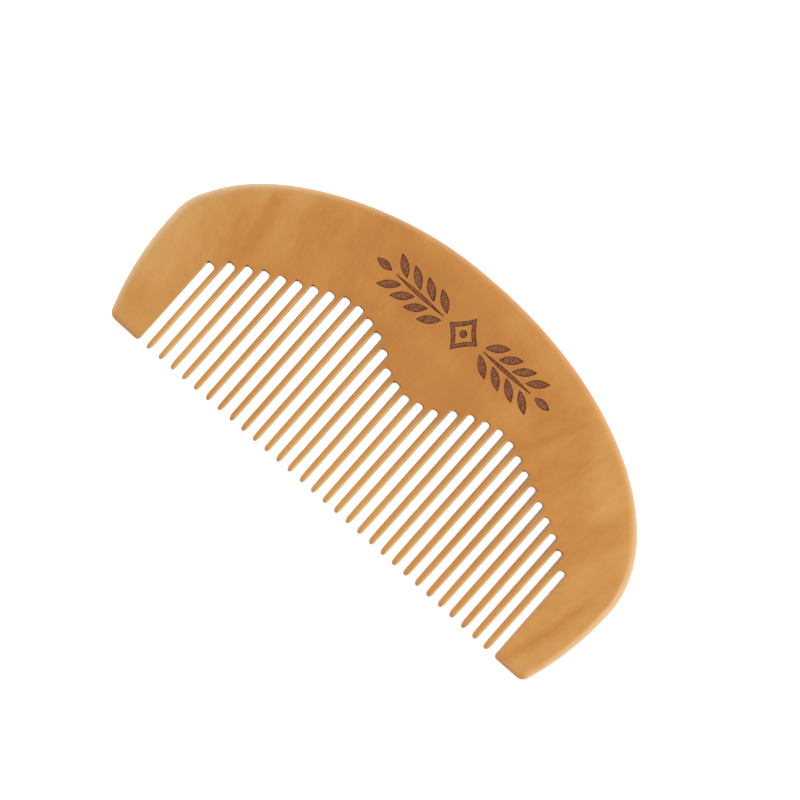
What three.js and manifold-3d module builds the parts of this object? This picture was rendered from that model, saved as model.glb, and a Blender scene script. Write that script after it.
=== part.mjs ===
// Half-moon beard comb, sawn and sanded from one board of fruitwood, lying on its rear face.
// X runs along the comb from the left guard to the right guard, Y from the tooth tips to the crown
// and Z through the thickness. The origin is under the middle of the comb's box, at the height of
// the flat rear face. Lengths are in millimetres.
//
// The real comb is a single piece of wood. Here it is divided along straight cuts into its back, its
// two end guards and its teeth, so that every gap between two teeth stays open.

import * as THREE from 'three';
import { mergeVertices } from 'three/addons/utils/BufferGeometryUtils.js';
import Module from 'manifold-3d';

const wasm = await Module();
wasm.setup();

// Board, seen from the front. Heights are measured up from the line that the tooth tips stand on.
const LENGTH = 115;
const HEIGHT = 54.5;
const WIDEST_HEIGHT = 21.5;
const SIDE_RADIUS = 61;
const CORNER_RADIUS = 2;
const HALF_LENGTH = LENGTH / 2;
const CROWN_RISE = HEIGHT - WIDEST_HEIGHT;

// The crown is half an ellipse, sanded by hand a little off it on the left: fuller beside the top,
// flatter along the side, and fuller again where it turns down into the left guard.
const SANDED_STRETCHES = [
  { from: 92, to: 112, outward: 0.13 },
  { from: 112, to: 164, outward: -0.43 },
  { from: 164, to: 178, outward: 0.3 },
];

// Board, seen from the side: two parallel faces, tapering together below TAPER_HEIGHT.
const BACK_THICKNESS = 6.6;
const TIP_THICKNESS = 3;
const TAPER_HEIGHT = 25;
const TIP_ROUNDING = 1.6;

// Edge of the board: a broad, shallow bevel with a tighter rounding outside it.
const BEVEL_WIDTH = 4.6;
const BEVEL_DROP = 0.6;
const RIM_WIDTH = 2.4;
const RIM_DROP = 2.7;

// Teeth and the slots between them.
const TOOTH_COUNT = 30;
const PITCH = 3.02;
const TOOTH_WIDTH = 1.3;
const TIP_LENGTH = 1.2;
const TIP_LINE_RISE = 0.45;
const SLOT_COUNT = TOOTH_COUNT + 1;
const SLOT_WIDTH = PITCH - TOOTH_WIDTH;
const SLOT_END_RADIUS = 0.6;
const GUARD_CORNER_RADIUS = 0.8;

// Slot ends lie on a wavy line, alike on both sides of the middle: a dip, a shoulder, and a slope down
// to the guard. The whole line climbs a little from left to right.
const SLOT_LINE_TILT = 0.008;
const SLOT_LINE = new THREE.SplineCurve([
  new THREE.Vector2(0, 26.6),
  new THREE.Vector2(5.6, 27.95),
  new THREE.Vector2(9.1, 30.5),
  new THREE.Vector2(12.6, 32.3),
  new THREE.Vector2(18.2, 33.65),
  new THREE.Vector2(21.2, 33.2),
  new THREE.Vector2(27.3, 30.75),
  new THREE.Vector2(36.3, 26.75),
  new THREE.Vector2(42.4, 23.45),
  new THREE.Vector2(45.4, 20.85),
]);

// Steps along each curved stretch of an outline.
const CROWN_STEPS = 56;
const SIDE_STEPS = 8;
const ROUNDING_STEPS = 4;
const EDGE_STEPS = 3;
const SLOT_END_STEPS = 2;
const SLOT_LINE_SAMPLES = 120;

// Wood that a cutting outline reaches beyond the board, so that the board's own edge is the limit.
const OVERSHOOT = 5;

const WOOD = { color: 0xc98c4f, roughness: 0.55, metalness: 0 };

// Places a height above the tip line in the comb's own frame.
function atHeight(height) {
  return height - HEIGHT / 2;
}

function arc(centreX, centreY, radiusX, radiusY, from, to, steps) {
  return new THREE.EllipseCurve(centreX, centreY, radiusX, radiusY, from, to, from > to).getPoints(steps);
}

// Makes a shape from stretches of points, keeping one of any two points that coincide.
function shapeFrom(...stretches) {
  const points = stretches.flat();
  const kept = points.filter((point, index) => {
    const previous = points.at(index - 1);
    return point.distanceTo(previous) > 1e-6;
  });
  return new THREE.Shape(kept);
}

function solidFrom(geometry) {
  const merged = geometry.clone();
  merged.deleteAttribute('normal');
  merged.deleteAttribute('uv');
  const welded = mergeVertices(merged, 1e-5);
  const mesh = new wasm.Mesh({
    numProp: 3,
    vertProperties: new Float32Array(welded.attributes.position.array),
    triVerts: new Uint32Array(welded.index.array),
  });
  return new wasm.Manifold(mesh);
}

// A straight-sided solid on the given outline, deeper than the board on both faces.
function extruded(outline) {
  const prism = new THREE.ExtrudeGeometry(outline, {
    depth: BACK_THICKNESS + 2 * OVERSHOOT,
    bevelEnabled: false,
  });
  prism.translate(0, 0, -OVERSHOOT);
  return solidFrom(prism);
}

function geometryFrom(solid) {
  const mesh = solid.getMesh();
  const geometry = new THREE.BufferGeometry();
  geometry.setAttribute('position', new THREE.BufferAttribute(mesh.vertProperties, 3));
  geometry.setIndex(new THREE.BufferAttribute(mesh.triVerts, 1));
  geometry.computeVertexNormals();
  return geometry;
}

// How far the sanded crown lies outside its ellipse, at an angle in degrees round from the right.
function sandedOutward(degrees) {
  const stretch = SANDED_STRETCHES.find(({ from, to }) => degrees >= from && degrees <= to);
  if (!stretch) {
    return 0;
  }
  const along = (degrees - stretch.from) / (stretch.to - stretch.from);
  return stretch.outward * Math.sin(Math.PI * along);
}

// The crown from its right end, over the top, to its left end.
function crown() {
  const points = [];
  for (let step = 0; step <= CROWN_STEPS; step += 1) {
    const angle = Math.PI * step / CROWN_STEPS;
    const onEllipse = new THREE.Vector2(
      HALF_LENGTH * Math.cos(angle), atHeight(WIDEST_HEIGHT) + CROWN_RISE * Math.sin(angle));
    const normal = new THREE.Vector2(Math.cos(angle) / HALF_LENGTH, Math.sin(angle) / CROWN_RISE).normalize();
    const outward = sandedOutward(THREE.MathUtils.radToDeg(angle));
    points.push(onEllipse.addScaledVector(normal, outward));
  }
  return points;
}

// Crown and both outer sides, as one run of points from the right guard over to the left guard.
// The sides stop at the given height above the tip line.
function crownAndSides(lowestHeight) {
  const centreY = atHeight(WIDEST_HEIGHT);
  const sideCentreX = HALF_LENGTH - SIDE_RADIUS;
  const reach = Math.asin((WIDEST_HEIGHT - lowestHeight) / SIDE_RADIUS);
  return [
    ...arc(sideCentreX, centreY, SIDE_RADIUS, SIDE_RADIUS, -reach, 0, SIDE_STEPS),
    ...crown(),
    ...arc(-sideCentreX, centreY, SIDE_RADIUS, SIDE_RADIUS, Math.PI, Math.PI + reach, SIDE_STEPS),
  ];
}

// The board's straight-sided plan with its rounded lower corners, without slots or edge rounding.
function plan() {
  const innerRadius = SIDE_RADIUS - CORNER_RADIUS;
  const cornerAngle = Math.asin((WIDEST_HEIGHT - CORNER_RADIUS) / innerRadius);
  const cornerX = HALF_LENGTH - SIDE_RADIUS + innerRadius * Math.cos(cornerAngle);
  const cornerY = atHeight(CORNER_RADIUS);
  const sideEnd = WIDEST_HEIGHT - SIDE_RADIUS * Math.sin(cornerAngle);
  const rightCorner = arc(
    cornerX, cornerY, CORNER_RADIUS, CORNER_RADIUS, -Math.PI / 2, -cornerAngle, ROUNDING_STEPS);
  const leftCorner = arc(
    -cornerX, cornerY, CORNER_RADIUS, CORNER_RADIUS, Math.PI + cornerAngle, Math.PI * 1.5, ROUNDING_STEPS);
  return extruded(shapeFrom(rightCorner, crownAndSides(sideEnd), leftCorner));
}

// A slab of the board's full thickness whose edge is rounded by a quarter ellipse on both faces. It
// runs on below the tips, so that only the crown and the outer sides are rounded by it.
function roundedSlab(edgeWidth, edgeDrop) {
  const outline = shapeFrom(crownAndSides(-OVERSHOOT));
  const slab = new THREE.ExtrudeGeometry(outline, {
    depth: BACK_THICKNESS - 2 * edgeDrop,
    bevelEnabled: true,
    bevelSize: edgeWidth,
    bevelOffset: -edgeWidth,
    bevelThickness: edgeDrop,
    bevelSegments: EDGE_STEPS,
  });
  slab.translate(0, 0, edgeDrop);
  return solidFrom(slab);
}

// The board's side view, swept along its length: parallel faces, then the taper to round tips.
function taperedSlab() {
  const middle = BACK_THICKNESS / 2;
  const tip = arc(
    atHeight(TIP_ROUNDING), middle, TIP_ROUNDING, TIP_THICKNESS / 2,
    Math.PI / 2, Math.PI * 1.5, 2 * ROUNDING_STEPS);
  const faces = [
    new THREE.Vector2(atHeight(TAPER_HEIGHT), 0),
    new THREE.Vector2(atHeight(HEIGHT + OVERSHOOT), 0),
    new THREE.Vector2(atHeight(HEIGHT + OVERSHOOT), BACK_THICKNESS),
    new THREE.Vector2(atHeight(TAPER_HEIGHT), BACK_THICKNESS),
  ];
  const slab = new THREE.ExtrudeGeometry(shapeFrom(tip, faces), {
    depth: LENGTH + 2 * OVERSHOOT,
    bevelEnabled: false,
  });
  slab.translate(0, 0, -HALF_LENGTH - OVERSHOOT);
  slab.applyMatrix4(new THREE.Matrix4().set(0, 0, 1, 0, 1, 0, 0, 0, 0, 1, 0, 0, 0, 0, 0, 1));
  return solidFrom(slab);
}

// The sanded blank that every region is cut from.
function blank() {
  const bevelled = roundedSlab(BEVEL_WIDTH, BEVEL_DROP);
  const rimmed = roundedSlab(RIM_WIDTH, RIM_DROP);
  return bevelled.intersect(rimmed).intersect(taperedSlab()).intersect(plan());
}

function slotCentre(index) {
  return (index - (SLOT_COUNT - 1) / 2) * PITCH;
}

// Height of the slot end at a distance along the comb.
function slotEndHeight(x) {
  const distance = Math.abs(x);
  const climb = SLOT_LINE_TILT * x;
  const samples = SLOT_LINE.getPoints(SLOT_LINE_SAMPLES);
  const above = samples.findIndex((sample) => sample.x >= distance);
  const before = samples[Math.max(above - 1, 0)];
  const after = samples[Math.max(above, 1)];
  const along = (distance - before.x) / (after.x - before.x);
  return before.y + (after.y - before.y) * along + climb;
}

// Height of the cut between the back and the tooth or guard between two slots.
function cutHeight(...slotIndexes) {
  const heights = slotIndexes.map((index) => slotEndHeight(slotCentre(index)));
  return Math.min(...heights) - SLOT_END_RADIUS;
}

// Round end of one slot, from its left wall to its right wall.
function slotEnd(index) {
  const left = slotCentre(index) - SLOT_WIDTH / 2;
  const right = slotCentre(index) + SLOT_WIDTH / 2;
  const centreY = atHeight(slotEndHeight(slotCentre(index)) - SLOT_END_RADIUS);
  const radius = SLOT_END_RADIUS;
  return [
    ...arc(left + radius, centreY, radius, radius, Math.PI, Math.PI / 2, SLOT_END_STEPS),
    ...arc(right - radius, centreY, radius, radius, Math.PI / 2, 0, SLOT_END_STEPS),
  ];
}

// Everything above the cuts: the crown side lies beyond the board, the lower side holds the slot ends.
function backOutline() {
  const last = SLOT_COUNT - 1;
  const leftCut = atHeight(cutHeight(0));
  const rightCut = atHeight(cutHeight(last));
  const far = HALF_LENGTH + OVERSHOOT;
  const top = atHeight(HEIGHT + OVERSHOOT);
  const lowerSide = [new THREE.Vector2(-far, leftCut)];
  for (let slot = 0; slot < SLOT_COUNT; slot += 1) {
    const left = slotCentre(slot) - SLOT_WIDTH / 2;
    const right = slotCentre(slot) + SLOT_WIDTH / 2;
    const cutBefore = slot === 0 ? leftCut : atHeight(cutHeight(slot - 1, slot));
    const cutAfter = slot === last ? rightCut : atHeight(cutHeight(slot, slot + 1));
    lowerSide.push(new THREE.Vector2(left, cutBefore));
    lowerSide.push(...slotEnd(slot));
    lowerSide.push(new THREE.Vector2(right, cutAfter));
  }
  lowerSide.push(new THREE.Vector2(far, rightCut));
  return shapeFrom(lowerSide, [new THREE.Vector2(far, top), new THREE.Vector2(-far, top)]);
}

// One end guard below its cut, side -1 on the left and +1 on the right. Its outer side lies beyond
// the board, so the board's own side and lower corner are the limit there.
function guardOutline(side) {
  const slot = side < 0 ? 0 : SLOT_COUNT - 1;
  const inner = Math.abs(slotCentre(slot)) + SLOT_WIDTH / 2;
  const far = HALF_LENGTH + OVERSHOOT;
  const top = atHeight(cutHeight(slot));
  const radius = GUARD_CORNER_RADIUS;
  const innerCorner = arc(
    inner + radius, atHeight(radius), radius, radius, Math.PI, Math.PI * 1.5, ROUNDING_STEPS);
  const rest = [
    new THREE.Vector2(inner + radius, atHeight(-OVERSHOOT)),
    new THREE.Vector2(far, atHeight(-OVERSHOOT)),
    new THREE.Vector2(far, top),
    new THREE.Vector2(inner, top),
  ];
  const points = [...innerCorner, ...rest];
  return shapeFrom(points.map((point) => new THREE.Vector2(side * point.x, point.y)));
}

// One tooth below its cut, with an elliptical tip. The tips stand a little higher towards the middle.
function toothOutline(index) {
  const centre = (slotCentre(index) + slotCentre(index + 1)) / 2;
  const half = TOOTH_WIDTH / 2;
  const top = atHeight(cutHeight(index, index + 1));
  const tipHeight = TIP_LINE_RISE * (1 - (centre / slotCentre(0)) ** 2);
  const tip = arc(
    centre, atHeight(tipHeight + TIP_LENGTH), half, TIP_LENGTH, Math.PI, Math.PI * 2, 2 * ROUNDING_STEPS);
  const sides = [
    new THREE.Vector2(centre + half, top),
    new THREE.Vector2(centre - half, top),
  ];
  return shapeFrom(tip, sides);
}

// Cuts one region out of the blank.
function region(name, outline, board) {
  const solid = extruded(outline).intersect(board);
  const mesh = new THREE.Mesh(geometryFrom(solid), new THREE.MeshStandardMaterial(WOOD));
  mesh.name = name;
  return mesh;
}

const comb = new THREE.Group();
const board = blank();
comb.add(region('comb_back', backOutline(), board));
comb.add(region('left_guard', guardOutline(-1), board));
comb.add(region('right_guard', guardOutline(1), board));
for (let tooth = 0; tooth < TOOTH_COUNT; tooth += 1) {
  const number = String(tooth + 1).padStart(2, '0');
  comb.add(region(`tooth_${number}`, toothOutline(tooth), board));
}

export default comb;
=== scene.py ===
"""Half-moon beard comb of fruitwood, lying on its rear face on a pale studio floor.

The comb is one board, so it is one continuous mesh here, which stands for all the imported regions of
that board. Lengths in this script are in millimetres until the mesh is made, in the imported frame:
X along the comb, Y from the tooth tips to the crown, Z out of the front face.
"""

import math
import random

import bpy
import numpy as np
from mathutils import Matrix, Vector
from mathutils.geometry import delaunay_2d_cdt


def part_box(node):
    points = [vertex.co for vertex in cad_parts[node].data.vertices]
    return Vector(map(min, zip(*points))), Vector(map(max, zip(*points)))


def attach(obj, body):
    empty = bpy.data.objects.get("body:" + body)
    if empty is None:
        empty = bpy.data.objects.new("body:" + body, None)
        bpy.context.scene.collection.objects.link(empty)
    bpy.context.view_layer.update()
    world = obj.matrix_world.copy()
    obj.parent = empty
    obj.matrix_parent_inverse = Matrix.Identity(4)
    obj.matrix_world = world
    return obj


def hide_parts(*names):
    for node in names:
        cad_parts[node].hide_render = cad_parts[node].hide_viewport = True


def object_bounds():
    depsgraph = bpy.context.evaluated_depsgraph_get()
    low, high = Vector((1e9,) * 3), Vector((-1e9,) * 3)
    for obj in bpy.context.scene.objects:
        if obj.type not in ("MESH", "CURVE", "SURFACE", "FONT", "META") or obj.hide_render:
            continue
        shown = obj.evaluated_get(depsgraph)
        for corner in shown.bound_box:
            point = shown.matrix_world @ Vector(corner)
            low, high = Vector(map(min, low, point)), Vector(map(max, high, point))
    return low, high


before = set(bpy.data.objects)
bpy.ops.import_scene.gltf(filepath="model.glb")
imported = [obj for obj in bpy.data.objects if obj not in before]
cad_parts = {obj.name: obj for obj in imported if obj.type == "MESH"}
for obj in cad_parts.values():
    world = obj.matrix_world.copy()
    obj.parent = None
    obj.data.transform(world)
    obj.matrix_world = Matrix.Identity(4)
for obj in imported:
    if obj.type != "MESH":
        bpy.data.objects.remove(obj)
cad_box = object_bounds()

MM = 0.001
rng = random.Random(7)

# ---------------------------------------------------------------- sizes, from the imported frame

BOX_LOW = [c / MM for c in cad_box[0]]
BOX_HIGH = [c / MM for c in cad_box[1]]
HALF_LENGTH = (BOX_HIGH[0] - BOX_LOW[0]) / 2
HEIGHT = BOX_HIGH[1] - BOX_LOW[1]
THICKNESS = BOX_HIGH[2] - BOX_LOW[2]
TIP_LINE = BOX_LOW[1]
MID_PLANE = (BOX_LOW[2] + BOX_HIGH[2]) / 2

TEETH = sorted(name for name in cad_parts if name.startswith("tooth_"))
TOOTH_BOXES = [[[c / MM for c in corner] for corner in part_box(name)] for name in TEETH]
TOOTH_CENTRES = [(low[0] + high[0]) / 2 for low, high in TOOTH_BOXES]
TOOTH_WIDTH = TOOTH_BOXES[0][1][0] - TOOTH_BOXES[0][0][0]
TIP_HEIGHTS = [low[1] - TIP_LINE for low, high in TOOTH_BOXES]
PITCH = TOOTH_CENTRES[1] - TOOTH_CENTRES[0]
SLOT_WIDTH = PITCH - TOOTH_WIDTH
SLOT_CENTRES = [TOOTH_CENTRES[0] - PITCH / 2 + PITCH * i for i in range(len(TEETH) + 1)]
BACK_POINTS = np.array([v.co[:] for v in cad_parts["comb_back"].data.vertices]) / MM

# Plan of the board. Heights are measured up from the line that the tooth tips stand on.
WIDEST_HEIGHT = 21.5
SIDE_RADIUS = 61.0
CORNER_RADIUS = 2.0
GUARD_CORNER_RADIUS = 0.8
SLOT_END_RADIUS = 0.6
TIP_LENGTH = 1.2
CROWN_RISE = HEIGHT - WIDEST_HEIGHT

# The left half of the crown is sanded a little off its ellipse: (from, to, outward), in degrees.
SANDED_STRETCHES = ((92, 112, 0.13), (112, 164, -0.43), (164, 178, 0.3))

# Thickness: parallel faces, tapering together below TAPER_HEIGHT. The teeth thin a little more, by
# the share TIP_THINNING, over the last TIP_THINNING_HEIGHT above their tips.
TIP_THICKNESS = 3.0
TAPER_HEIGHT = 25.0
TIP_THINNING = 0.3
TIP_THINNING_HEIGHT = 2.4

# Edge rounding as (width seen from the front, fall as a share of half the local thickness).
RIM = (1.85, 0.74)
LOWER_CORNER = (1.5, 0.7)
FOOT = (1.0, 0.6)
INNER_CORNER = (0.5, 0.4)
TOOTH_SIDE = (0.53, 0.36)
GUARD_INSIDE = (0.3, 0.14)
SLOT_END = (0.45, 0.14)
TIP_FALL = 0.75
# The rounding at a tooth's tip reaches up it by this share of the tip's length. Over 1 it would fold.
TIP_INSET = 0.85
# A wide, very shallow bevel inside the rim's own rounding.
BEVEL_WIDTH = 5.4
BEVEL_FALL = 0.18

# How far the painted highlight along the rim reaches in from the rim, and how far up a tooth the teeth's
# painted light fades out towards its root.
RIM_HIGHLIGHT_WIDTH = 6.0
TOOTH_ROOT_FADE = 4.0

# Mesh density: rings round the edge, stations along the outline, and points on the flat of the face.
RING_COUNT = 8
CROWN_STEPS = 150
SIDE_STEP = 1.0
TOOTH_STEP = 1.6
TIP_STEPS = 12
SLOT_END_STEPS = 6
SLOT_END_STEP = 0.2
CORNER_STEPS = 10
GUARD_CORNER_STEPS = 6
ROUNDING_SMOOTHING = 3
GRID_STEP = 1.5
GRID_ROW_STEP = GRID_STEP * 0.87
GRID_START = 1.5
BEVEL_ROWS = 4
CLEAR_OF_BEVEL = 0.5
CLEAR_OF_BORDER = 0.42
CLEAR_OF_ORNAMENT = 0.3
WELD_DISTANCE = 1e-6

# Burned ornament between the crown and the teeth.
ORNAMENT_HEIGHT = 42.9
BURN_DEPTH = 0.22
BURN_WALL = 0.13
LOZENGE = (3.6, 4.0)
LOZENGE_HOLE = (2.2, 2.55)
LOZENGE_HOLLOW = 0.35
DOT_RADIUS = 0.8
DOT_STEPS = 14
LEAF_STEPS = 10
LEAF_PAIRS = 4
LEAF_SIZE = (5.0, 1.7)
LEAF_TILT = 38
LEAF_RISE = 2.35
FIRST_LEAF = 6.9
LEAF_PITCH = 3.45
STEM_CENTRE = 11.3
STEM_SIZE = (12.6, 0.85)
END_LEAF_CENTRE = 20.4
END_LEAF_SIZE = (3.8, 1.7)

# Hand work: how far each tooth leans and how much each of its sides is thinned, in mm, how long its
# tip is as a share of TIP_LENGTH, how far the tip is skewed, in mm, and how scorched each slot end is.
# The left-hand teeth came out thinnest, and each next tooth to the right a little wider.
LEFT_THINNING = 0.046
THINNING_STEP = 0.0029
TOOTH_LEANS = [rng.gauss(0, 0.04) for _ in TEETH]
TOOTH_THINNING = [
    rng.uniform(-0.015, 0.015) + LEFT_THINNING - THINNING_STEP * tooth for tooth in range(len(TEETH))]
TIP_STRETCH = [rng.uniform(0.65, 0.95) for _ in TEETH]
TIP_SKEW = [rng.gauss(0.02, 0.05) for _ in TEETH]
LEFT_SCORCH = (0.3, 0.7, 1.0, 1.0)
RIGHT_SCORCH = (0.0, 0.0, 0.4, 0.8)
SLOT_SCORCH = [rng.choice(LEFT_SCORCH if x < 0 else RIGHT_SCORCH) for x in SLOT_CENTRES]
SCORCH_RADIUS = 0.54
SCORCH_FROM_WALL = 0.15
SCORCH_BELOW_TOP = 0.12


def at_height(height):
    """The Y of a height above the line that the tooth tips stand on."""
    return height + TIP_LINE


# ---------------------------------------------------------------- plan outline

def arc(centre, radius, start, end, steps):
    """Points round an arc, in degrees, both ends included."""
    angles = np.radians(np.linspace(start, end, steps + 1))
    return [(centre[0] + radius * math.cos(a), centre[1] + radius * math.sin(a)) for a in angles]


def line(start, end, step):
    """Points along a straight line, without its two ends."""
    count = max(2, round(math.dist(start, end) / step))
    start, end = np.array(start), np.array(end)
    return [tuple(start + (end - start) * i / count) for i in range(1, count)]


def sanded_outward(degrees):
    """How far the crown stands outside its ellipse at an angle, in mm."""
    for start, end, outward in SANDED_STRETCHES:
        if start <= degrees <= end:
            return outward * math.sin(math.pi * (degrees - start) / (end - start))
    return 0.0


def crown():
    """The crown from its right end, over the top, to its left end."""
    points = []
    for step in range(CROWN_STEPS + 1):
        angle = math.pi * step / CROWN_STEPS
        normal = np.array([math.cos(angle) / HALF_LENGTH, math.sin(angle) / CROWN_RISE])
        normal /= np.linalg.norm(normal)
        on_ellipse = np.array([HALF_LENGTH * math.cos(angle), CROWN_RISE * math.sin(angle)])
        point = on_ellipse + normal * sanded_outward(math.degrees(angle))
        points.append((point[0], point[1] + at_height(WIDEST_HEIGHT)))
    return points


def slot_end_height(centre):
    """Height of the closed end of the slot at this centre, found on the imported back."""
    in_slot = np.abs(BACK_POINTS[:, 0] - centre) < SLOT_WIDTH / 2 - 0.05
    heights = BACK_POINTS[in_slot, 1] - TIP_LINE
    return heights[heights < heights.min() + SLOT_END_RADIUS].max()


SLOT_TOPS = [slot_end_height(centre) for centre in SLOT_CENTRES]


class Outline:
    """The board's plan outline, anticlockwise, as stations with the edge's rounding at each.

    The stations of the tooth tips also have insets of their own.
    """

    def __init__(self):
        self.points = []
        self.roundings = []
        self.insets = {}

    def add(self, points, rounding, insets=None):
        for i, inset in enumerate(insets or []):
            self.insets[len(self.points) + i] = inset
        self.points.extend(points)
        self.roundings.extend([rounding] * len(points))


def board_outline():
    outline = Outline()
    side_centre = (HALF_LENGTH - SIDE_RADIUS, at_height(WIDEST_HEIGHT))
    corner_drop = WIDEST_HEIGHT - CORNER_RADIUS
    corner_angle = math.degrees(math.asin(corner_drop / (SIDE_RADIUS - CORNER_RADIUS)))
    corner_x = side_centre[0] + (SIDE_RADIUS - CORNER_RADIUS) * math.cos(math.radians(corner_angle))
    corner_y = at_height(CORNER_RADIUS)
    side_steps = round(WIDEST_HEIGHT / SIDE_STEP)

    outline.add(arc((corner_x, corner_y), CORNER_RADIUS, -90, -corner_angle, CORNER_STEPS), LOWER_CORNER)
    outline.add(arc(side_centre, SIDE_RADIUS, -corner_angle, 0, side_steps)[1:-1], RIM)
    outline.add(crown(), RIM)
    left_centre = (-side_centre[0], side_centre[1])
    outline.add(arc(left_centre, SIDE_RADIUS, 180, 180 + corner_angle, side_steps)[1:-1], RIM)
    left_corner = arc((-corner_x, corner_y), CORNER_RADIUS, 180 + corner_angle, 270, CORNER_STEPS)
    outline.add(left_corner, LOWER_CORNER)

    foot_y = at_height(0)
    inner_x = SLOT_CENTRES[-1] + SLOT_WIDTH / 2 + GUARD_CORNER_RADIUS
    inner_y = at_height(GUARD_CORNER_RADIUS)
    outline.add(line((-corner_x, foot_y), (-inner_x, foot_y), SIDE_STEP), FOOT)
    left_inner = arc((-inner_x, inner_y), GUARD_CORNER_RADIUS, 270, 360, GUARD_CORNER_STEPS)
    outline.add(left_inner, INNER_CORNER)
    for slot in range(len(SLOT_CENTRES)):
        on_left_guard = slot == 0
        on_right_guard = slot == len(TEETH)
        outline.add(slot_wall(slot, -1), GUARD_INSIDE if on_left_guard else TOOTH_SIDE)
        outline.add(slot_end(slot), SLOT_END)
        outline.add(slot_wall(slot, 1), GUARD_INSIDE if on_right_guard else TOOTH_SIDE)
        if not on_right_guard:
            points, insets = tooth_tip(slot)
            outline.add(points, (TOOTH_SIDE[0], TIP_FALL), insets)
    right_inner = arc((inner_x, inner_y), GUARD_CORNER_RADIUS, 180, 270, GUARD_CORNER_STEPS)
    outline.add(right_inner, INNER_CORNER)
    outline.add(line((inner_x, foot_y), (corner_x, foot_y), SIDE_STEP), FOOT)
    return outline


def tooth_side(tooth, side, height):
    """Where a tooth's side stands at a height: side is -1 for its left side and 1 for its right."""
    root = min(SLOT_TOPS[tooth], SLOT_TOPS[tooth + 1])
    free = max(0.0, 1 - height / root)
    half = TOOTH_WIDTH / 2 - TOOTH_THINNING[tooth]
    return TOOTH_CENTRES[tooth] + TOOTH_LEANS[tooth] * free + side * half


def tip_length(tooth):
    return TIP_LENGTH * TIP_STRETCH[tooth]


def tip_top(tooth):
    """Height at which a tooth's straight sides end and its tip begins."""
    return TIP_HEIGHTS[tooth] + tip_length(tooth)


def beside_guard(slot, side):
    """Whether a slot's left wall (side -1) or right wall (side 1) belongs to a guard."""
    return slot == (0 if side < 0 else len(TEETH))


def wall_x(slot, side, height):
    """Where a slot's left wall (side -1) or right wall (side 1) stands at a height."""
    if beside_guard(slot, side):
        return SLOT_CENTRES[slot] + side * SLOT_WIDTH / 2
    return tooth_side(slot - 1 if side < 0 else slot, -side, height)


def slot_wall(slot, side):
    """A slot's left wall (side -1), going up, or its right wall (side 1), going down."""
    low = GUARD_CORNER_RADIUS if beside_guard(slot, side) else tip_top(slot - 1 if side < 0 else slot)
    high = SLOT_TOPS[slot] - SLOT_END_RADIUS
    count = round((high - low) / TOOTH_STEP)
    heights = [low + (high - low) * i / count for i in range(1, count)]
    if side > 0:
        heights.reverse()
    return [(wall_x(slot, side, h), at_height(h)) for h in heights]


def slot_end(slot):
    """The closed end of a slot, from its left wall over to its right wall."""
    height = SLOT_TOPS[slot] - SLOT_END_RADIUS
    left_centre = (wall_x(slot, -1, height) + SLOT_END_RADIUS, at_height(height))
    right_centre = (wall_x(slot, 1, height) - SLOT_END_RADIUS, at_height(height))
    left = arc(left_centre, SLOT_END_RADIUS, 180, 90, SLOT_END_STEPS)
    right = arc(right_centre, SLOT_END_RADIUS, 90, 0, SLOT_END_STEPS)
    return left + line(left[-1], right[0], SLOT_END_STEP) + right


def scorched(places):
    """How scorched each place is: a small spot at the left corner of the slots' ends."""
    result = np.zeros(len(places))
    for centre, top, amount in zip(SLOT_CENTRES, SLOT_TOPS, SLOT_SCORCH):
        spot = (centre - SLOT_WIDTH / 2 + SCORCH_FROM_WALL, at_height(top - SCORCH_BELOW_TOP))
        gap = np.linalg.norm(places - spot, axis=1)
        result = np.maximum(result, amount * np.clip(1 - gap / SCORCH_RADIUS, 0, 1))
    return result


def tooth_tip(tooth):
    """The blunt tip of a tooth, from its left side to its right side, and its edge's insets.

    It is a superellipse, |x / half width| ** 3 + |y / length| ** 1.5 = 1.
    """
    top = tip_top(tooth)
    left, right = tooth_side(tooth, -1, top), tooth_side(tooth, 1, top)
    centre, half = (left + right) / 2, (right - left) / 2
    length = tip_length(tooth)
    points, insets = [], []
    for step in range(TIP_STEPS + 1):
        angle = math.pi * step / TIP_STEPS
        across = math.copysign(abs(math.cos(angle)) ** (2 / 3), -math.cos(angle))
        down = math.sin(angle) ** (4 / 3)
        x = centre + half * across + TIP_SKEW[tooth] * down
        points.append((x, at_height(top - length * down)))
        insets.append((-TOOTH_SIDE[0] * across, TIP_INSET * length * down))
    return points, insets


# ---------------------------------------------------------------- thickness

def half_thickness(points, near_tooth):
    """Half the board's thickness at each point, before its edges are rounded."""
    heights = points[:, 1] - TIP_LINE
    taper = np.clip(heights / TAPER_HEIGHT, 0, 1)
    half = (TIP_THICKNESS + (THICKNESS - TIP_THICKNESS) * taper) / 2
    to_tip = np.clip(1 - heights / TIP_THINNING_HEIGHT, 0, 1)
    return half * (1 - TIP_THINNING * near_tooth * to_tip ** 2)


def quarter_round(distance, width):
    """0 on the face, rising to 1 at the edge, along a quarter ellipse."""
    along = np.clip(1 - distance / width, 0, 1)
    return 1 - np.sqrt(1 - along ** 2)


def distance_to(points, polyline):
    """Distance from each point to the nearest point of a fine open polyline."""
    start, end = polyline[:-1], polyline[1:]
    span = end - start
    length2 = (span ** 2).sum(axis=1)
    best = np.full(len(points), np.inf)
    for a, s, l2 in zip(start, span, length2):
        t = np.clip(((points - a) @ s) / l2, 0, 1)
        gap = points - (a + t[:, None] * s)
        best = np.minimum(best, (gap ** 2).sum(axis=1))
    return np.sqrt(best)


def inside(points, loop):
    """True for each point inside a closed loop, by counting crossings."""
    result = np.zeros(len(points), bool)
    for a, b in zip(loop, np.roll(loop, -1, axis=0)):
        if a[1] == b[1]:
            continue
        between = (points[:, 1] > min(a[1], b[1])) & (points[:, 1] <= max(a[1], b[1]))
        crossing = a[0] + (points[:, 1] - a[1]) * (b[0] - a[0]) / (b[1] - a[1])
        result ^= between & (points[:, 0] < crossing)
    return result


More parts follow.
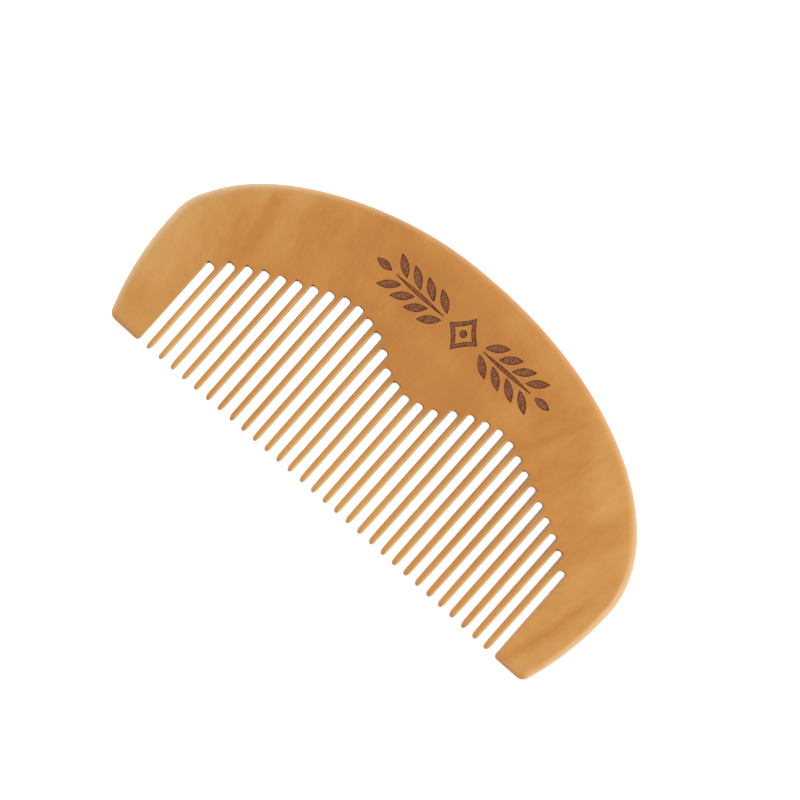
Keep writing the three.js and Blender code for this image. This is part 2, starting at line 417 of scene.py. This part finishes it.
# ---------------------------------------------------------------- ornament

def leaf(centre, size, degrees=0):
    """A pointed leaf, as one closed loop."""
    length, width = size
    along = [math.cos(math.pi * i / LEAF_STEPS) for i in range(LEAF_STEPS + 1)]
    upper = [(length / 2 * a, width / 2 * (1 - a * a)) for a in along]
    lower = [(x, -y) for x, y in reversed(upper[1:-1])]
    turn = Matrix.Rotation(math.radians(degrees), 2)
    return [tuple(turn @ Vector(p) + Vector(centre)) for p in upper + lower]


def dot():
    return arc((0, 0), DOT_RADIUS, 0, 360, DOT_STEPS)[:-1]


def lozenge(half_width, half_height):
    """A lozenge standing on its point, with each side a little hollow."""
    corners = [(half_width, 0), (0, half_height), (-half_width, 0), (0, -half_height)]
    loop = []
    for i, corner in enumerate(corners):
        following = corners[(i + 1) % 4]
        for t in (0, 0.25, 0.5, 0.75):
            hollow = 1 - LOZENGE_HOLLOW * t * (1 - t)
            loop.append(tuple((a + (b - a) * t) * hollow for a, b in zip(corner, following)))
    return loop


def ornament():
    """Closed loops of a leaf band, mirrored about the comb's middle: (loop, burned inside) pairs."""
    loops = [(lozenge(*LOZENGE), True), (lozenge(*LOZENGE_HOLE), False), (dot(), True)]
    for side in (-1, 1):
        for pair in range(LEAF_PAIRS):
            for up in (-1, 1):
                centre = (side * (FIRST_LEAF + LEAF_PITCH * pair), up * LEAF_RISE)
                tilt = LEAF_TILT if side * up > 0 else 180 - LEAF_TILT
                loops.append((leaf(centre, LEAF_SIZE, tilt), True))
        loops.append((leaf((side * STEM_CENTRE, 0), STEM_SIZE), True))
        loops.append((leaf((side * END_LEAF_CENTRE, 0), END_LEAF_SIZE), True))
    return loops


def shrunk(loop, amount):
    """The loop moved inwards by an amount, keeping its number of points."""
    points = np.array(loop)
    along = np.roll(points, -1, axis=0) - np.roll(points, 1, axis=0)
    along /= np.linalg.norm(along, axis=1)[:, None]
    area = np.sum(points[:, 0] * np.roll(points[:, 1], -1) - np.roll(points[:, 0], -1) * points[:, 1])
    inward = np.stack([-along[:, 1], along[:, 0]], axis=1) * np.sign(area)
    return points + inward * amount


# ---------------------------------------------------------------- mesh

def smoothed(values, passes):
    """A closed row of values, each averaged with its neighbours a few times."""
    for _ in range(passes):
        values = (np.roll(values, 1, axis=0) + 2 * values + np.roll(values, -1, axis=0)) / 4
    return values


def face_points(border, outer_edge):
    """Extra points for the flat of the face: a staggered grid and rows that follow the crown."""
    rows = []
    for row, y in enumerate(np.arange(at_height(GRID_START), at_height(HEIGHT), GRID_ROW_STEP)):
        shift = GRID_STEP / 2 * (row % 2)
        rows.extend((x + shift, y) for x in np.arange(-HALF_LENGTH, HALF_LENGTH, GRID_STEP))
    grid = np.array(rows)
    grid = grid[distance_to(grid, outer_edge) > BEVEL_WIDTH + CLEAR_OF_BEVEL]
    along = np.gradient(outer_edge, axis=0)
    along /= np.linalg.norm(along, axis=1)[:, None]
    inward = np.stack([-along[:, 1], along[:, 0]], axis=1)
    row_distances = np.linspace(RIM[0] + CLEAR_OF_BEVEL, BEVEL_WIDTH, BEVEL_ROWS)
    bevel_rows = [outer_edge + inward * distance for distance in row_distances]
    points = np.concatenate([grid, *bevel_rows])
    points = points[inside(points, border)]
    closed = np.concatenate([border, border[:1]])
    return points[distance_to(points, closed) > CLEAR_OF_BORDER]


def triangulated(border, burn_loops, extra):
    """Triangles inside the border. Returns points, triangles, and each border point's place."""
    coords = [Vector(p) for p in border]
    edges = [(i, (i + 1) % len(border)) for i in range(len(border))]
    for loop in burn_loops:
        first = len(coords)
        coords.extend(Vector(p) for p in loop)
        edges.extend((first + i, first + (i + 1) % len(loop)) for i in range(len(loop)))
    coords.extend(Vector(p) for p in extra)
    points, _, triangles, origins, _, _ = delaunay_2d_cdt(coords, edges, [], 1, WELD_DISTANCE)
    place = {source: i for i, sources in enumerate(origins) for source in sources}
    return np.array([tuple(p) for p in points]), triangles, [place[i] for i in range(len(border))]


def edge_rings(outline, face_height):
    """Rings of (plan points, half heights) from the board's side wall, round its edge, to the face."""
    plan = np.array(outline.points)
    rounding = smoothed(np.array(outline.roundings), ROUNDING_SMOOTHING)
    along = np.roll(plan, -1, axis=0) - np.roll(plan, 1, axis=0)
    along /= np.linalg.norm(along, axis=1)[:, None]
    inset = np.stack([-along[:, 1], along[:, 0]], axis=1) * rounding[:, :1]
    for station, own_inset in outline.insets.items():
        inset[station] = own_inset
    rings = []
    for k in range(RING_COUNT + 1):
        angle = math.pi / 2 * k / RING_COUNT
        points = plan + inset * (1 - math.cos(angle))
        fall = rounding[:, 1] * (1 - math.sin(angle))
        rings.append((points, face_height(points, fall)))
    return rings


def burned_inside(places, loops):
    """True for each place within the burned area that the (loop, burned inside) pairs bound."""
    result = np.zeros(len(places), bool)
    for loop, burned in loops:
        within = inside(places, loop)
        result = result | within if burned else result & ~within
    return result


def on_tooth(places):
    """1 on the free length of the teeth, falling to 0 at their roots and on the guards."""
    nearest = np.round((places[:, 0] - TOOTH_CENTRES[0]) / PITCH)
    tooth = np.clip(nearest, 0, len(TEETH) - 1).astype(int)
    tops = np.array(SLOT_TOPS)
    root = np.minimum(tops[tooth], tops[tooth + 1])
    free = np.clip((root - (places[:, 1] - TIP_LINE)) / TOOTH_ROOT_FADE, 0, 1)
    return free * (np.abs(places[:, 0]) < TOOTH_CENTRES[-1] + TOOTH_WIDTH)


def make_board():
    """The comb's mesh, with face groups 0 for wood, 1 for burned floors and 2 for burned walls."""
    outline = board_outline()
    plan = np.array(outline.points)
    outer = np.array([rounding is RIM or rounding is LOWER_CORNER for rounding in outline.roundings])
    outer_edge = plan[outer]
    last_tooth = TOOTH_CENTRES[-1] + PITCH / 2

    def face_height(points, fall):
        bevel = BEVEL_FALL * quarter_round(distance_to(points, outer_edge), BEVEL_WIDTH)
        near_tooth = (np.abs(points[:, 0]) < last_tooth).astype(float)
        return half_thickness(points, near_tooth) * (1 - bevel - fall)

    rings = edge_rings(outline, face_height)
    border = rings[-1][0]

    outer_loops, inner_loops = [], []
    for loop, burned in ornament():
        placed = np.array([(x, y + at_height(ORNAMENT_HEIGHT)) for x, y in loop])
        outer_loops.append((placed, burned))
        inner_loops.append((shrunk(placed, BURN_WALL if burned else -BURN_WALL), burned))
    extra = face_points(border, outer_edge)
    clear = np.ones(len(extra), bool)
    for loop, burned in outer_loops:
        clear &= distance_to(extra, np.concatenate([loop, loop[:1]])) > CLEAR_OF_ORNAMENT
    all_loops = [loop for loop, burned in outer_loops + inner_loops]
    points, triangles, border_places = triangulated(border, all_loops, extra[clear])

    heights = face_height(points, 0)
    centroids = np.array([points[list(t)].mean(axis=0) for t in triangles])
    in_burn = burned_inside(centroids, outer_loops)
    in_floor = burned_inside(centroids, inner_loops) & in_burn
    groups = np.where(in_floor, 1, np.where(in_burn, 2, 0))
    sunk = np.zeros(len(points), bool)
    for triangle, group in zip(triangles, groups):
        if group == 1:
            sunk[list(triangle)] = True

    vertices, faces, face_groups, plan_places = [], [], [], []
    count = len(plan)
    side_start = {}
    for side in (1, -1):
        side_start[side] = len(vertices)
        for k, (ring_points, ring_heights) in enumerate(rings[:-1]):
            vertices.extend(
                (x, y, MID_PLANE + side * h) for (x, y), h in zip(ring_points, ring_heights))
            plan_places.extend(ring_points)
        face_start = len(vertices)
        depth = np.where(sunk, BURN_DEPTH, 0) if side == 1 else np.zeros(len(points))
        vertices.extend(
            (x, y, MID_PLANE + side * (h - d)) for (x, y), h, d in zip(points, heights, depth))
        plan_places.extend(points)

        def ring_vertex(k, i):
            if k == RING_COUNT:
                return face_start + border_places[i % count]
            return side_start[side] + k * count + i % count

        for k in range(RING_COUNT):
            for i in range(count):
                quad = [ring_vertex(k, i), ring_vertex(k, i + 1)]
                quad += [ring_vertex(k + 1, i + 1), ring_vertex(k + 1, i)]
                faces.append(quad if side == 1 else quad[::-1])
                face_groups.append(0)
        for triangle, group in zip(triangles, groups):
            corners = [face_start + c for c in triangle]
            faces.append(corners if side == 1 else corners[::-1])
            face_groups.append(int(group) if side == 1 else 0)
    for i in range(count):
        j = (i + 1) % count
        faces.append([side_start[-1] + i, side_start[-1] + j, side_start[1] + j, side_start[1] + i])
        face_groups.append(0)

    mesh = bpy.data.meshes.new("comb_board")
    mesh.from_pydata([tuple(c * MM for c in v) for v in vertices], [], faces)
    mesh.polygons.foreach_set("material_index", face_groups)
    mesh.polygons.foreach_set("use_smooth", [True] * len(faces))
    plan_places = np.array(plan_places)
    # The rim mark carries the painted highlight along the rim; the tooth mark carries the teeth's painted
    # light and their painted cream highlight.
    near_rim_highlight = np.clip(1 - distance_to(plan_places, outer_edge) / RIM_HIGHLIGHT_WIDTH, 0, 1)
    marks = {"scorch": scorched(plan_places), "rim": near_rim_highlight, "tooth": on_tooth(plan_places)}
    for name, values in marks.items():
        mesh.attributes.new(name, "FLOAT", "POINT").data.foreach_set("value", values)
    mesh.update()
    crease_burn_edges(mesh)
    return mesh


def crease_burn_edges(mesh):
    """Marks the edges between wood, burned wall and burned floor as sharp."""
    first_group = {}
    sharp = set()
    for polygon in mesh.polygons:
        for key in polygon.edge_keys:
            if first_group.setdefault(key, polygon.material_index) != polygon.material_index:
                sharp.add(key)
    for edge in mesh.edges:
        if tuple(sorted(edge.vertices)) in sharp:
            edge.use_edge_sharp = True


# ---------------------------------------------------------------- materials

# The grain spreads towards the crown, by this share of its width per millimetre of height, and it
# sways from side to side by up to GRAIN_SWAY, in mm.
GRAIN_SPREAD = 0.0055
GRAIN_SWAY = 7.0
# Each pattern's scale across the grain and along it, its detail and its roughness.
PATTERNS = {
    "clouds": (0.13, 0.05, 2.0, 0.5),
    "bands": (0.42, 0.03, 2.0, 0.55),
    "fibres": (3.2, 0.22, 3.0, 0.6),
    "mottle": (0.55, 0.4, 3.0, 0.6),
    "pores": (6.0, 1.1, 1.0, 0.5),
}
PATTERN_STRENGTHS = (("clouds", 0.42), ("bands", 0.14), ("fibres", 0.14), ("mottle", 0.18))
# The tone, from 0 at its darkest to 1 at its palest, in the comb's middle and out on its guards.
MIDDLE_TONE = 0.44
GUARD_TONE = 0.6
# How strong the patterns are in the comb's middle, next to its guards.
MIDDLE_LIVELINESS = 0.5
# Distances from the comb's middle over which the tone, the patterns and the teeth's painted light change.
TONE_CHANGE = (22.0, 50.0)
LIVELINESS_CHANGE = (4.0, 26.0)
TEETH_LIGHT_CHANGE = (0.0, 40.0)
# Darkening of faces turned towards the tips: partly darker end grain, partly painted shade on faces turned
# from the light.
END_GRAIN_AND_SHADE_DARKENING = 0.3
# Painted highlight: the wood near the rim is made paler, for the light that its rounding and bevel catch.
RIM_PAINTED_HIGHLIGHT = 0.09
# Painted light: the teeth are made paler, strongest in the comb's middle, for the light and glare the thin
# teeth catch.
TEETH_PAINTED_LIGHT = 0.24
# Shares of another colour mixed in: a painted cream highlight on edges that face along the comb, and
# painted grey shade at the feet.
SIDE_PAINTED_HIGHLIGHT = 0.42
# Painted highlight: the teeth's left sides, turned away from the light, lose this share of it.
LEFT_SIDE_HIGHLIGHT_LOSS = 0.8
# Painted shade: the share of grey-brown over the feet and tooth tips, which face away from the light.
FOOT_SHADE = 0.3
PORE_DARKNESS = 0.25
# How squarely a surface faces along an axis: towards the tips for the full darkening of darker end grain
# and painted shade, along the comb for the full painted highlight.
END_GRAIN_AND_SHADE_FACING = (0.15, 0.8)
SIDE_HIGHLIGHT_FACING = (0.15, 0.75)
LEFT_SIDE_FACING = (-0.2, 0.0)
FOOT_SHADE_HEIGHTS = (0.2, 2.2)
# The stretch of a pattern or of the scorching over which pores, scorching and burning set in.
PORE_ONSET = (0.68, 0.76)
SCORCH_ONSET = (0.15, 0.6)
BURN_ONSET = (0.36, 0.62)

# Streaks and patches: start and end as (x, height), half width, how lopsided, and how much darker.
STREAKS = (
    ((31.2, 48.6), (24.3, 35.6), 1.6, 0.0, 0.11),
    ((53.3, 20.6), (48.1, 0.5), 1.7, 0.0, 0.13),
    ((-45.2, 40.5), (-42.0, 24.5), 1.6, 1.5, 0.12),
    ((-17.5, 50.5), (-15.0, 43.0), 5.5, 0.0, 0.05),
    ((4.0, 52.0), (28.0, 48.0), 5.0, 0.0, -0.12),
    ((30.0, 50.0), (46.0, 33.0), 6.0, 0.0, -0.13),
    ((-24.0, 37.0), (24.0, 37.0), 4.0, 0.0, -0.06),
    ((-56.0, 28.0), (-53.0, 9.0), 5.0, 0.0, -0.1),
)
STREAK_WOBBLE = 1.6
# How far a streak's ends fade, outside and inside its length.
STREAK_FADE = (1.0, 3.0)

# Colours are in sRGB steps of 0 to 255. The wood's own go with its tone.
WOOD_COLOURS = (
    (0.0, (134, 74, 20)),
    (0.25, (175, 103, 28)),
    (0.5, (200, 130, 46)),
    (0.75, (213, 155, 78)),
    (1.0, (225, 180, 116)),
)
PORE_COLOUR = (150, 92, 44)
# Painted highlight colours, cream, for edges facing along the comb, on the rim and on the teeth.
RIM_HIGHLIGHT_CREAM = (196, 176, 138)
TOOTH_HIGHLIGHT_CREAM = (230, 212, 160)
# Painted shade colour for the feet and tooth tips.
FOOT_SHADE_COLOUR = (150, 120, 95)
SCORCH_COLOUR = (84, 54, 36)
BURNED_FLOOR = ((104, 54, 34), (160, 102, 66))
BURNED_WALL = ((72, 32, 20), (110, 56, 36))

# Surface: roughness at the smoothest fibre and how much rougher the coarsest is, and reliefs in mm.
WOOD_ROUGHNESS = 0.34
FIBRE_ROUGHNESS = 0.16
FIBRE_RELIEF = 0.02
PORE_DEPTH = 0.06
WOOD_SPECULAR = 0.6
BURNED_FLOOR_ROUGHNESS = 0.8
BURNED_WALL_ROUGHNESS = 0.85
BURNED_SMOOTHING = 0.1
STROKE_RELIEF = 0.06
DOT_SHARE = 0.4
BURNED_SPECULAR = 0.25


def linear(red, green, blue):
    """A linear colour from sRGB steps of 0 to 255."""
    def channel(value):
        value /= 255
        return value / 12.92 if value <= 0.04045 else ((value + 0.055) / 1.055) ** 2.4
    return (channel(red), channel(green), channel(blue), 1.0)


class Graph:
    """Short ways to add nodes to one material. A value is a number, a vector or a node's output."""

    def __init__(self, name):
        self.material = bpy.data.materials.new(name)
        self.material.use_nodes = True
        self.tree = self.material.node_tree
        self.tree.nodes.clear()

    def node(self, kind, output=0, settings=None, **inputs):
        made = self.tree.nodes.new(kind)
        for key, value in (settings or {}).items():
            setattr(made, key, value)
        for key, value in inputs.items():
            numbered = key[0] == "i" and key[1:].isdigit()
            place = int(key[1:]) if numbered else key.replace("_", " ")
            self.feed(made.inputs[place], value)
        return made.outputs[output]

    def feed(self, socket, value):
        """Links an output to a socket, or sets the socket to a number, vector or colour."""
        if isinstance(value, bpy.types.NodeSocket):
            self.tree.links.new(value, socket)
        else:
            socket.default_value = value

    def place(self):
        """Coordinates on the comb, in millimetres."""
        return self.scaled(self.node("ShaderNodeTexCoord", output="Object"), (1 / MM,) * 3)

    def attribute(self, name):
        """One of the numbers that make_board() stores at each point of the mesh."""
        return self.node("ShaderNodeAttribute", output="Fac", settings={"attribute_name": name})

    def math(self, operation, a, b=0.0, c=0.0):
        return self.node("ShaderNodeMath", settings={"operation": operation}, i0=a, i1=b, i2=c)

    def scaled(self, vector, factors):
        settings = {"operation": "MULTIPLY"}
        return self.node("ShaderNodeVectorMath", settings=settings, i0=vector, i1=factors)

    def dot(self, vector, direction):
        settings = {"operation": "DOT_PRODUCT"}
        return self.node(
            "ShaderNodeVectorMath", output="Value", settings=settings, i0=vector, i1=direction)

    def noise(self, vector, detail=2.0, roughness=0.5):
        return self.node(
            "ShaderNodeTexNoise", Vector=vector, Scale=1.0, Detail=detail, Roughness=roughness)

    def smooth(self, value, low, high, to_low=0.0, to_high=1.0):
        """Goes smoothly from to_low to to_high as the value goes from low to high."""
        return self.node(
            "ShaderNodeMapRange", settings={"interpolation_type": "SMOOTHSTEP"}, Value=value,
            From_Min=low, From_Max=high, To_Min=to_low, To_Max=to_high)

    def mix(self, factor, a, b):
        """The colour a, giving way to the colour b as the factor goes from 0 to 1."""
        return self.node(
            "ShaderNodeMix", output=2, settings={"data_type": "RGBA"}, i0=factor, i6=a, i7=b)

    def finish(self, colour, roughness, height, **settings):
        """Ends the material in one shader, with the height in millimetres as its bump."""
        normal = self.node("ShaderNodeBump", Strength=1.0, Distance=MM, Height=height)
        return self.end_in_shader(
            Base_Color=colour, Roughness=roughness, Normal=normal, **settings)

    def end_in_shader(self, **settings):
        shader = self.node("ShaderNodeBsdfPrincipled", **settings)
        output = self.tree.nodes.new("ShaderNodeOutputMaterial")
        self.tree.links.new(shader, output.inputs["Surface"])
        return self.material


def grain(graph):
    """The wood's patterns, each about 0 to 1, all stretched along the teeth, and the place they are at."""
    place = graph.place()
    x, y = graph.dot(place, (1, 0, 0)), graph.dot(place, (0, 1, 0))
    spread = graph.math("MULTIPLY_ADD", graph.math("SUBTRACT", y, TIP_LINE), GRAIN_SPREAD, 1.0)
    sway = graph.noise(graph.scaled(place, (0.03, 0.02, 0.03)), detail=1.0)
    across = graph.math("MULTIPLY_ADD", sway, GRAIN_SWAY, graph.math("DIVIDE", x, spread))
    bent = graph.node("ShaderNodeCombineXYZ", X=across, Y=y, Z=graph.dot(place, (0, 0, 1)))
    parts = {"place": place}
    for name, (scale_across, scale_along, detail, roughness) in PATTERNS.items():
        stretched = graph.scaled(bent, (scale_across, scale_along, scale_across))
        parts[name] = graph.noise(stretched, detail, roughness)
    return parts


def streak(graph, place, start, end, width, lopsided):
    """A soft line in the wood from start to end, both (x, height above the tips).

    A lopsided streak reaches that much further on its left than on its right.
    """
    a, b = Vector((start[0], at_height(start[1]))), Vector((end[0], at_height(end[1])))
    along = (b - a).normalized()
    across = Vector((-along.y, along.x))
    uneven = graph.noise(graph.scaled(place, (0.25,) * 3))
    wobble = graph.math("MULTIPLY_ADD", uneven, STREAK_WOBBLE, -STREAK_WOBBLE / 2)
    distance = graph.math("SUBTRACT", graph.dot(place, (*across, 0)), across.dot(a))
    offset = graph.math("ADD", distance, wobble)
    rise = graph.smooth(offset, -width, 0.0)
    fade = graph.smooth(offset, 0.0, width * (1 + lopsided), 1.0, 0.0)
    travelled = graph.math("SUBTRACT", graph.dot(place, (*along, 0)), along.dot(a))
    length = (b - a).length
    outside, within = STREAK_FADE
    start_fade = graph.smooth(travelled, -outside, within)
    end_fade = graph.smooth(travelled, length - within, length + outside, 1.0, 0.0)
    core = graph.math("MULTIPLY", rise, fade)
    return graph.math("MULTIPLY", core, graph.math("MULTIPLY", start_fade, end_fade))


def wood_tone(graph, parts):
    """How light the wood is, from 0 in its darkest streaks to 1 at its palest, with painted light on the
    rim and the teeth and painted shade on faces turned towards the tips.
    """
    place = parts["place"]
    from_middle = graph.math("ABSOLUTE", graph.dot(place, (1, 0, 0)))
    tone = graph.smooth(from_middle, *TONE_CHANGE, MIDDLE_TONE, GUARD_TONE)
    liveliness = graph.smooth(from_middle, *LIVELINESS_CHANGE, MIDDLE_LIVELINESS, 1.0)
    for pattern, strength in PATTERN_STRENGTHS:
        centred = graph.math("SUBTRACT", parts[pattern], 0.5)
        if pattern != "fibres":
            centred = graph.math("MULTIPLY", centred, liveliness)
        tone = graph.math("MULTIPLY_ADD", centred, strength, tone)
    for start, end, width, lopsided, strength in STREAKS:
        mark = streak(graph, place, start, end, width, lopsided)
        tone = graph.math("MULTIPLY_ADD", mark, -strength, tone)
    # Painted light on the teeth, strongest in the comb's middle.
    teeth_light = graph.smooth(from_middle, *TEETH_LIGHT_CHANGE, TEETH_PAINTED_LIGHT, TEETH_PAINTED_LIGHT / 2)
    # Painted highlight along the rim and painted light on the teeth, added to the tone.
    for name, strength in (("rim", RIM_PAINTED_HIGHLIGHT), ("tooth", teeth_light)):
        tone = graph.math("MULTIPLY_ADD", graph.smooth(graph.attribute(name), 0.0, 1.0), strength, tone)
    # Faces turned towards the tips are darker: partly end grain, partly painted shade.
    normal = graph.node("ShaderNodeTexCoord", output="Normal")
    end_grain_and_shade = graph.smooth(graph.dot(normal, (0, -1, 0)), *END_GRAIN_AND_SHADE_FACING)
    return graph.math("MULTIPLY_ADD", end_grain_and_shade, -END_GRAIN_AND_SHADE_DARKENING, tone)


def painted_side_highlight(graph):
    """How far a painted cream highlight covers the wood where it faces along the comb. The teeth's left
    sides, turned away from the light, get less of it.
    """
    facing = graph.dot(graph.node("ShaderNodeTexCoord", output="Normal"), (1, 0, 0))
    squareness = graph.math("ABSOLUTE", facing)
    highlight = graph.smooth(squareness, *SIDE_HIGHLIGHT_FACING, 0.0, SIDE_PAINTED_HIGHLIGHT)
    left_side = graph.smooth(facing, *LEFT_SIDE_FACING, LEFT_SIDE_HIGHLIGHT_LOSS, 0.0)
    kept = graph.math("SUBTRACT", 1.0, graph.math("MULTIPLY", graph.attribute("tooth"), left_side))
    return graph.math("MULTIPLY", highlight, kept)


def foot_shade(graph, place):
    """How far painted grey shade covers the wood over the last two millimetres above the feet and the
    tooth tips.
    """
    low, high = [at_height(height) for height in FOOT_SHADE_HEIGHTS]
    return graph.smooth(graph.dot(place, (0, 1, 0)), low, high, FOOT_SHADE, 0.0)


def wood_colour(graph, tone):
    """The colour that WOOD_COLOURS gives a tone."""
    ramp = graph.tree.nodes.new("ShaderNodeValToRGB")
    elements = ramp.color_ramp.elements
    while len(elements) < len(WOOD_COLOURS):
        elements.new(0.5)
    for element, (position, colour) in zip(elements, WOOD_COLOURS):
        element.position = position
        element.color = linear(*colour)
    graph.tree.links.new(tone, ramp.inputs[0])
    return ramp.outputs[0]


def fruitwood():
    """Sanded and waxed wood, with its pores, a painted cream highlight on edges facing along the comb,
    painted shade at the feet and scorched slot ends.
    """
    graph = Graph("fruitwood")
    parts = grain(graph)
    pores = graph.smooth(parts["pores"], *PORE_ONSET, 0.0, PORE_DARKNESS)
    colour = graph.mix(pores, wood_colour(graph, wood_tone(graph, parts)), linear(*PORE_COLOUR))
    # Painted cream highlight where the surface faces along the comb, less on the teeth's left sides.
    cream = graph.mix(graph.attribute("tooth"), linear(*RIM_HIGHLIGHT_CREAM), linear(*TOOTH_HIGHLIGHT_CREAM))
    colour = graph.mix(painted_side_highlight(graph), colour, cream)
    # Painted shade at the feet and tooth tips.
    colour = graph.mix(foot_shade(graph, parts["place"]), colour, linear(*FOOT_SHADE_COLOUR))
    scorch = graph.smooth(graph.attribute("scorch"), *SCORCH_ONSET)
    colour = graph.mix(scorch, colour, linear(*SCORCH_COLOUR))
    roughness = graph.math("MULTIPLY_ADD", parts["fibres"], FIBRE_ROUGHNESS, WOOD_ROUGHNESS)
    fibre_height = graph.math("MULTIPLY", parts["fibres"], FIBRE_RELIEF)
    height = graph.math("MULTIPLY_ADD", pores, -PORE_DEPTH, fibre_height)
    return graph.finish(colour, roughness, height, Specular_IOR_Level=WOOD_SPECULAR)


def burned(name, colours, roughness):
    """Laser-burned wood: short strokes along the teeth between a darkest and a lightest colour."""
    graph = Graph(name)
    place = graph.place()
    strokes = graph.noise(graph.scaled(place, (3.2, 0.9, 3.0)), detail=3.0, roughness=0.7)
    dots = graph.noise(graph.scaled(place, (4.5, 4.5, 4.5)), detail=2.0)
    blend = graph.math("MULTIPLY_ADD", dots, DOT_SHARE, graph.math("MULTIPLY", strokes, 1 - DOT_SHARE))
    amount = graph.smooth(blend, *BURN_ONSET)
    darkest, lightest = colours
    colour = graph.mix(amount, linear(*darkest), linear(*lightest))
    surface = graph.math("MULTIPLY_ADD", amount, -BURNED_SMOOTHING, roughness)
    height = graph.math("MULTIPLY", strokes, STROKE_RELIEF)
    return graph.finish(colour, surface, height, Specular_IOR_Level=BURNED_SPECULAR)


# ---------------------------------------------------------------- stage, lights and camera

# Metres for the floor and the lights, watts for the lights, and millimetres for the camera.
FLOOR_REACH = 1.5
FLOOR_DROP = 0.00005
FLOOR_COLOUR = (205, 205, 205)
FLOOR_GLOW = 0.95
WORLD_STRENGTH = 0.84
LIGHT_DISTANCE = 0.9
LIGHT_SIZE = 0.4
LIGHT_ELEVATION = 20
KEY_AZIMUTH = 3
KEY_POWER = 2.75
FILL_AZIMUTH = 180
FILL_POWER = 0.65
CAMERA_DISTANCE = 1090
CAMERA_VIEW_WIDTH = 154.87
CAMERA_TURN = 41.73
CAMERA_TARGET = (-0.68, -2.02, THICKNESS)
# How far the camera leans from straight above, in degrees, along X and along Y.
CAMERA_LEAN = (-1.75, 0.3)


def floor_material():
    return Graph("pale_floor").end_in_shader(
        Base_Color=linear(*FLOOR_COLOUR), Roughness=0.8, Emission_Color=(1.0, 1.0, 1.0, 1.0),
        Emission_Strength=FLOOR_GLOW)


def make_floor(reach):
    mesh = bpy.data.meshes.new("studio_floor")
    corners = [(-reach, -reach, 0), (reach, -reach, 0), (reach, reach, 0), (-reach, reach, 0)]
    mesh.from_pydata(corners, [], [(0, 1, 2, 3)])
    mesh.materials.append(floor_material())
    floor = bpy.data.objects.new("studio_floor", mesh)
    floor.location.z = cad_box[0][2] - FLOOR_DROP
    bpy.context.collection.objects.link(floor)


def soft_box(name, azimuth, power):
    """A square light that faces the comb. Azimuth 0 lies towards +X and 90 towards +Y."""
    data = bpy.data.lights.new(name, "AREA")
    data.size = LIGHT_SIZE
    data.energy = power
    lamp = bpy.data.objects.new(name, data)
    a, e = math.radians(azimuth), math.radians(LIGHT_ELEVATION)
    direction = Vector((math.cos(a) * math.cos(e), math.sin(a) * math.cos(e), math.sin(e)))
    lamp.location = direction * LIGHT_DISTANCE
    lamp.rotation_mode = "QUATERNION"
    lamp.rotation_quaternion = (-lamp.location).to_track_quat("-Z", "Y")
    bpy.context.collection.objects.link(lamp)


def make_world(strength):
    world = bpy.data.worlds.new("studio")
    world.use_nodes = True
    background = world.node_tree.nodes["Background"]
    background.inputs["Color"].default_value = (1.0, 1.0, 1.0, 1.0)
    background.inputs["Strength"].default_value = strength
    bpy.context.scene.world = world


def make_camera():
    """Almost straight down on the face, with the comb lying across the picture's diagonal."""
    distance = CAMERA_DISTANCE * MM
    turn = math.radians(CAMERA_TURN)
    target = Vector(CAMERA_TARGET) * MM
    lean = Vector((*[math.tan(math.radians(angle)) for angle in CAMERA_LEAN], 1)).normalized()
    data = bpy.data.cameras.new("camera")
    data.sensor_width = 36.0
    data.lens = data.sensor_width * CAMERA_DISTANCE / CAMERA_VIEW_WIDTH
    data.clip_start = 0.05
    data.clip_end = 10.0
    camera = bpy.data.objects.new("camera", data)
    up = Vector((-math.sin(turn), math.cos(turn), 0))
    right = up.cross(lean).normalized()
    up = lean.cross(right)
    turned = Matrix((right, up, lean)).transposed().to_4x4()
    camera.matrix_world = Matrix.Translation(target + lean * distance) @ turned
    bpy.context.collection.objects.link(camera)
    bpy.context.scene.camera = camera


# ---------------------------------------------------------------- scene

make_camera()

board_mesh = make_board()
board_mesh.materials.append(fruitwood())
board_mesh.materials.append(burned("burned_floor", BURNED_FLOOR, BURNED_FLOOR_ROUGHNESS))
board_mesh.materials.append(burned("burned_wall", BURNED_WALL, BURNED_WALL_ROUGHNESS))
board = bpy.data.objects.new("comb_board", board_mesh)
bpy.context.collection.objects.link(board)
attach(board, "root")
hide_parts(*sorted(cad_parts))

make_floor(FLOOR_REACH)
make_world(WORLD_STRENGTH)
soft_box("key_light", KEY_AZIMUTH, KEY_POWER)
soft_box("fill_light", FILL_AZIMUTH, FILL_POWER)
bpy.context.scene.view_settings.view_transform = "Standard"
